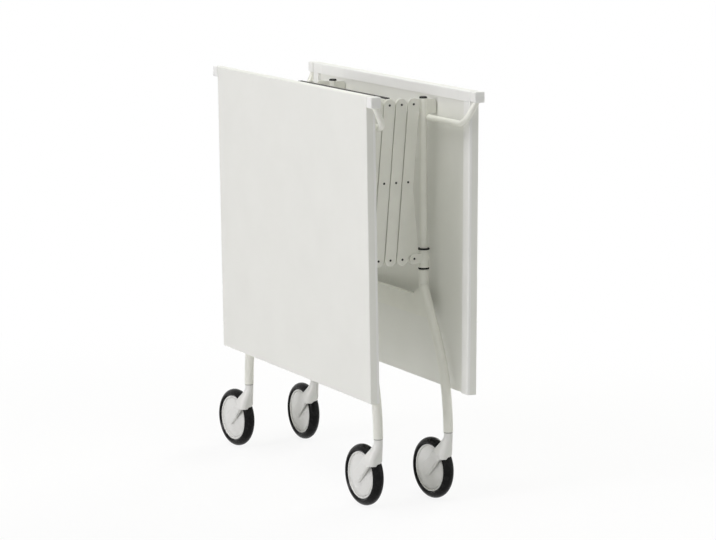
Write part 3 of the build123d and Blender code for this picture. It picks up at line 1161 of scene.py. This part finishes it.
@dataclass
class Caster:
    """One caster's wheel, a dished disc and a tyre of round section, and the dark washer in its
    swivel, whose black partly paints the shade of a recessed joint line.

    Attributes:
        corner: Name of the caster's corner.
        swivel: A point on the swivel's axis.
        hub: A point on the axle, at the middle of the stem.
        axle: Direction of the axle, away from the arm.
        side: How far the wheel's middle stands off towards the arm.
        wheel_r: Radius over the tyre.
        tyre_half: Half the width of the tyre.
        bead: Width of the slope from the tyre's side down to the disc.
        disc_r: Radius of the disc.
        rim_half: Half the width of the disc's rim.
        lip: Width of the raised lip at the rim.
        lip_round: Round on the lip's outer edge.
        groove: Width of the groove inside the lip.
        groove_depth: Depth of that groove below the lip.
        step: Depth of the face below the lip.
        crown: How far the face swells between lip and hub.
        crown_steps: Facets across that swell.
        hub_r: Radius of the hub.
        hub_half: Half its width.
        hub_step: Chamfer at the hub's edge.
        bore_r: Radius of the bores for axle and swivel pin.
        washer_r: Radius of the washer, a little less than the stem's so that its black reads as the
            painted shade of a recessed line.
        washer_z: Lowest and highest point of the washer.
    """

    corner: str
    swivel: Vector
    hub: Vector
    axle: Vector
    side: float = 3.0
    wheel_r: float = 51.0
    tyre_half: float = 10.5
    bead: float = 3.2
    disc_r: float = 39.4
    rim_half: float = 7.8
    lip: float = 2.4
    lip_round: float = 0.9
    groove: float = 2.2
    groove_depth: float = 2.7
    step: float = 1.0
    crown: float = 0.8
    crown_steps: int = 10
    hub_r: float = 11.0
    hub_half: float = 11.7
    hub_step: float = 0.8
    bore_r: float = 4.05
    washer_r: float = 7.1
    washer_z: Limits = (115.52, 116.48)

    @property
    def middle(self) -> Vector:
        """Middle of the wheel."""
        return self.hub - self.axle * self.side

    def face(self) -> Profile:
        """Outlines one face of the disc.

        Returns:
            Points from the bore to the rim.
        """
        hub = [(self.bore_r, self.hub_half), (self.hub_r, self.hub_half)]
        lip_r = self.disc_r - self.lip
        lip_z = self.rim_half - self.lip_round
        inner_r, inner_z = self.hub_r + self.hub_step, self.hub_half - self.hub_step
        outer_r, outer_z = lip_r - self.groove, self.rim_half - self.step
        swell = []
        for index in range(self.crown_steps + 1):
            share = index / self.crown_steps
            lift = 4 * self.crown * share * (1 - share)  # a parabola, highest halfway
            radius = inner_r + (outer_r - inner_r) * share
            swell.append((radius, inner_z + (outer_z - inner_z) * share + lift))
        groove_r = self.groove / 2
        groove = arc((lip_r - groove_r, outer_z), groove_r, 180.0, 360.0, steps=6)
        deepen = (self.groove_depth - self.step) / groove_r
        dip = [(radius, outer_z + (height - outer_z) * deepen) for radius, height in groove]
        inner_round = arc((lip_r + self.lip_round, lip_z), self.lip_round, 180.0, 90.0, steps=4)
        outer_round = arc((self.disc_r - self.lip_round, lip_z), self.lip_round, 90.0, 0.0, steps=4)
        return [*hub, *swell, *dip[1:-1], *inner_round, *outer_round]

    def disc(self) -> Blank:
        """White disc, dished alike on both sides.

        Returns:
            The blank.
        """
        near = self.face()
        far = [(radius, -height) for radius, height in reversed(near)]
        return turning([*near, *far], self.middle, self.axle, steps=96, ring=True)

    def tyre(self) -> Blank:
        """Tyre of round section that slopes down to the disc's rim.

        Returns:
            The blank.
        """
        centre = self.wheel_r - self.tyre_half
        foot = math.degrees(math.acos((self.disc_r + self.bead - centre) / self.tyre_half))
        outer = arc((centre, 0.0), self.tyre_half, -foot, foot, steps=28)
        seat = [(self.disc_r, self.rim_half), (self.disc_r, -self.rim_half)]
        return turning([*outer, *seat], self.middle, self.axle, steps=128, ring=True)

    def washer(self) -> Blank:
        """Thin dark washer between the fork and the leg, set in from the stem; its black paints the
        shade of a recessed joint line.

        Returns:
            The blank.
        """
        low, high = self.washer_z
        inner, outer = self.bore_r, self.washer_r
        profile = [(inner, low), (outer, low), (outer, high), (inner, high)]
        base = Vector((self.swivel.x, self.swivel.y, 0.0))
        return turning(profile, base, Z_AXIS, steps=48, ring=True)

    def build(self) -> None:
        """Casts the disc, the tyre and the washer."""
        corner = self.corner
        fork, wheel = f"{corner}_swivel", f"{corner}_wheel"
        # The dark washer is partly a real part and partly painted shade in the swivel joint.
        self.washer().cast(f"shade_line_washer_{corner}", fork, BUSH_PLASTIC, [])
        self.disc().cast(f"dished_disc_{corner}", wheel, CASTER_PLASTIC, [f"{corner}_wheel_disc"])
        self.tyre().cast(f"round_tyre_{corner}", wheel, TYRE, [f"{corner}_tyre"])


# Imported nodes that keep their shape


def dress_nodes(nodes: dict[str, bpy.types.Object], record: dict) -> None:
    """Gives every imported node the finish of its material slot, and the forks the casters' own.

    Args:
        nodes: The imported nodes.
        record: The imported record.
    """
    finishes = (
        LAMINATE, POWDER_COAT, MOULDING, RUBBER, BUSH_PLASTIC, TYRE, PIN_STEEL, DARK_RIVET,
    )
    by_slot = {finish.slot: finish for finish in finishes}
    for subpart in record["subparts"]:
        node = nodes[subpart["node"]]
        is_fork = node.name.endswith("_fork")
        finish = CASTER_PLASTIC if is_fork else by_slot[subpart["material_slot"]]
        node.data.materials.clear()
        node.data.materials.append(finish.material())
        LOG.info("%s: packed shape, %s", node.name, finish.name)


# Studio


def direction(azimuth_deg: float, elevation_deg: float) -> Vector:
    """Direction from the trolley towards a place in the studio.

    Args:
        azimuth_deg: Angle round the trolley, 0 in front and 90 at its right.
        elevation_deg: Angle above the level.

    Returns:
        The direction, of length 1.
    """
    azimuth, elevation = math.radians(azimuth_deg), math.radians(elevation_deg)
    level = math.cos(elevation)
    return Vector((math.sin(azimuth) * level, -math.cos(azimuth) * level, math.sin(elevation)))


def grey(value: float) -> tuple[float, float, float, float]:
    """A grey for a colour socket."""
    return (value, value, value, 1.0)


def background_rays(tree: bpy.types.NodeTree) -> bpy.types.NodeSocket:
    """Value that is 1 for rays that show the background: seen, mirrored or through glass.

    Args:
        tree: The node tree.

    Returns:
        The value.
    """
    path = tree.nodes.new("ShaderNodeLightPath")
    total = path.outputs["Is Camera Ray"]
    for name in ("Is Glossy Ray", "Is Transmission Ray"):
        node = tree.nodes.new("ShaderNodeMath")
        node.operation = "MAXIMUM"
        tree.links.new(total, node.inputs[0])
        tree.links.new(path.outputs[name], node.inputs[1])
        total = node.outputs[0]
    return total


def mixed(
    tree: bpy.types.NodeTree, share: bpy.types.NodeSocket, first: bpy.types.Node,
    second: bpy.types.Node,
) -> bpy.types.Node:
    """Mixes two shaders.

    Args:
        tree: The node tree.
        share: 0 for the first shader, 1 for the second.
        first: The first shader.
        second: The second shader.

    Returns:
        The mixed shader.
    """
    mix = tree.nodes.new("ShaderNodeMixShader")
    for source, target in zip((share, first.outputs[0], second.outputs[0]), mix.inputs):
        tree.links.new(source, target)
    return mix


@dataclass(frozen=True)
class Softbox:
    """A square softbox.

    Attributes:
        name: Its name.
        azimuth_deg: Its direction round the trolley.
        elevation_deg: Its height above the level.
        size: Its width in metres.
        level: How brightly it lights a white card that faces it.
        distance: Its distance in metres.
        tint: Colour of its light.
    """

    name: str
    azimuth_deg: float
    elevation_deg: float
    size: float
    level: float
    distance: float = 4.0
    tint: Colour = (1.0, 1.0, 1.0)


SOFTBOXES = (
    Softbox(
        "front_softbox", azimuth_deg=10.5, elevation_deg=19.0,
        size=1.1, level=0.325, tint=(0.965, 0.945, 1.0),
    ),
    Softbox(
        "front_high_softbox", azimuth_deg=0.0, elevation_deg=50.0,
        size=2.4, level=0.18, tint=(1.0, 0.985, 0.97),
    ),
    Softbox(
        "overhead_softbox", azimuth_deg=60.0, elevation_deg=78.0,
        size=4.0, level=0.66, tint=(0.99, 1.0, 0.94),
    ),
    Softbox(
        "low_side_softbox", azimuth_deg=128.0, elevation_deg=4.0,
        size=0.8, level=0.08, distance=1.5,
    ),
    Softbox(
        "rear_softbox", azimuth_deg=215.0, elevation_deg=20.0,
        size=2.0, level=0.64, tint=(1.0, 0.995, 0.93),
    ),
)


@dataclass
class Studio:
    """Floor, light and camera of the photograph.

    Attributes:
        azimuth_deg: Direction of the camera round the trolley.
        elevation_deg: Its height above the level.
        roll_deg: Its roll.
        distance: Its distance in metres.
        target: The point that it circles.
        slide: Its shift to the right and up, in metres.
        focal_px: Focal length in pixels of the photograph.
        image_width_px: Width of the photograph.
        sensor_mm: Width of the sensor.
        far: Farthest distance in metres that the camera shows.
        ambient: Strength of the even light from all round.
        ambient_tint: Colour of that light.
        floor_half: Half the size of the floor in metres.
        floor_colour: Grey of the floor that lights the trolley from below.
        floor_seen: Grey of the floor as the camera sees it.
        floor_glow: Share of plain white in the floor under the trolley, as the camera sees it.
        glow_reach: Distances in metres over which the floor fades to plain white.
    """

    azimuth_deg: float = 65.29
    elevation_deg: float = 8.61
    roll_deg: float = -0.37
    distance: float = 5.42936
    target: Point = (0.0, 0.0, 0.340)
    slide: tuple[float, float] = (0.02407, 0.01323)
    focal_px: float = 3195.72
    image_width_px: int = 716
    sensor_mm: float = 36.0
    far: float = 100.0
    ambient: float = 0.02
    ambient_tint: Colour = (1.0, 0.985, 0.92)
    floor_half: float = 14.0
    floor_colour: float = 0.92
    floor_seen: float = 0.95
    floor_glow: float = 0.88
    glow_reach: Limits = (0.5, 1.6)

    def camera(self) -> None:
        """Sets the camera at the photograph's viewing angle."""
        roll = math.radians(self.roll_deg)
        back = direction(self.azimuth_deg, self.elevation_deg)
        level_right = Z_AXIS.cross(back).normalized()
        level_up = back.cross(level_right)
        right = math.cos(roll) * level_right + math.sin(roll) * level_up
        up = math.cos(roll) * level_up - math.sin(roll) * level_right
        place = Vector(self.target) + self.distance * back
        place += self.slide[0] * right + self.slide[1] * up
        lens = bpy.data.cameras.new("photograph")
        lens.sensor_width = self.sensor_mm
        lens.lens = self.sensor_mm * self.focal_px / self.image_width_px
        lens.clip_end = self.far
        camera = bpy.data.objects.new("photograph", lens)
        axes = Matrix((right, up, back)).transposed().to_4x4()
        camera.matrix_world = Matrix.Translation(place) @ axes
        bpy.context.scene.collection.objects.link(camera)
        bpy.context.scene.camera = camera

    def world(self) -> None:
        """White surroundings that light the trolley softly."""
        world = bpy.data.worlds.new("white_studio")
        world.use_nodes = True
        tree = world.node_tree
        seen = tree.nodes["Background"]
        seen.inputs["Strength"].default_value = 1.0
        seen.inputs["Color"].default_value = grey(1.0)
        even = tree.nodes.new("ShaderNodeBackground")
        even.inputs["Color"].default_value = (*self.ambient_tint, 1.0)
        even.inputs["Strength"].default_value = self.ambient
        mix = mixed(tree, background_rays(tree), even, seen)
        tree.links.new(mix.outputs[0], tree.nodes["World Output"].inputs["Surface"])
        bpy.context.scene.world = world

    def floor_fade(self, tree: bpy.types.NodeTree) -> bpy.types.NodeSocket:
        """Share of plain white in the floor, which grows with the distance from the trolley.

        Args:
            tree: The floor's node tree.

        Returns:
            The share.
        """
        place = tree.nodes.new("ShaderNodeTexCoord")
        length = tree.nodes.new("ShaderNodeVectorMath")
        length.operation = "LENGTH"
        tree.links.new(place.outputs["Object"], length.inputs[0])
        fade = tree.nodes.new("ShaderNodeMapRange")
        fade.interpolation_type = "SMOOTHSTEP"
        set_range(fade, self.glow_reach, (self.floor_glow, 1.0))
        tree.links.new(length.outputs["Value"], fade.inputs["Value"])
        return fade.outputs["Result"]

    def floor(self) -> None:
        """Pale floor that keeps a faint shadow and lights the trolley from below."""
        material = bpy.data.materials.new("pale_floor")
        material.use_nodes = True
        tree = material.node_tree
        tree.nodes.remove(tree.nodes["Principled BSDF"])
        bounce = tree.nodes.new("ShaderNodeBsdfDiffuse")
        bounce.inputs["Color"].default_value = grey(self.floor_colour)
        seen = tree.nodes.new("ShaderNodeBsdfDiffuse")
        seen.inputs["Color"].default_value = grey(self.floor_seen)
        glow = tree.nodes.new("ShaderNodeEmission")
        shown = mixed(tree, self.floor_fade(tree), seen, glow)
        mix = mixed(tree, background_rays(tree), bounce, shown)
        tree.links.new(mix.outputs[0], tree.nodes["Material Output"].inputs["Surface"])
        mesh = bpy.data.meshes.new("pale_floor")
        plane = bmesh.new()
        bmesh.ops.create_grid(plane, x_segments=1, y_segments=1, size=self.floor_half)
        plane.to_mesh(mesh)
        plane.free()
        mesh.materials.append(material)
        floor = bpy.data.objects.new("pale_floor", mesh)
        bpy.context.scene.collection.objects.link(floor)

    def softbox(self, box: Softbox) -> None:
        """Sets up one softbox that faces the trolley.

        Args:
            box: The softbox.
        """
        away = direction(box.azimuth_deg, box.elevation_deg)
        light = bpy.data.lights.new(box.name, "AREA")
        light.size = box.size
        light.color = box.tint
        # Watts that give a card at this distance the softbox's level
        light.energy = box.level * (math.pi * box.distance) ** 2
        lamp = bpy.data.objects.new(box.name, light)
        turn = away.to_track_quat("Z", "Y").to_matrix().to_4x4()
        lamp.matrix_world = Matrix.Translation(Vector(self.target) + away * box.distance) @ turn
        bpy.context.scene.collection.objects.link(lamp)

    def build(self) -> None:
        """Sets up the camera, the light and the floor."""
        bpy.context.scene.view_settings.view_transform = "Standard"
        self.camera()
        self.world()
        self.floor()
        for box in SOFTBOXES:
            self.softbox(box)


def main() -> None:
    """Builds every sub-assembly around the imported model."""
    logging.basicConfig(level=logging.INFO, format="%(name)s: %(message)s")
    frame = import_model()
    joints = {joint["name"]: joint for joint in frame["joints"]}
    dress_nodes(frame["nodes"], frame["record"])
    hinge = Vector(joints["rear_tray_hinge"]["pos_m"]) / MM
    for side in Side:
        Tray(hinge).build(side)
        UprightFrame().build(side)
        SlideSleeves().build(side)
        for hand in Hand:
            corner = f"{side.value}_{hand.value}"
            swivel, spin = joints[f"{corner}_swivel_turn"], joints[f"{corner}_wheel_spin"]
            stem, hub = (Vector(joint["pos_m"]) / MM for joint in (swivel, spin))
            Caster(corner, stem, hub, Vector(spin["axis"]).normalized()).build()
    Lattice().build()
    CentreSupport().build()
    Studio().build()


if __name__ == "__main__":
    main()
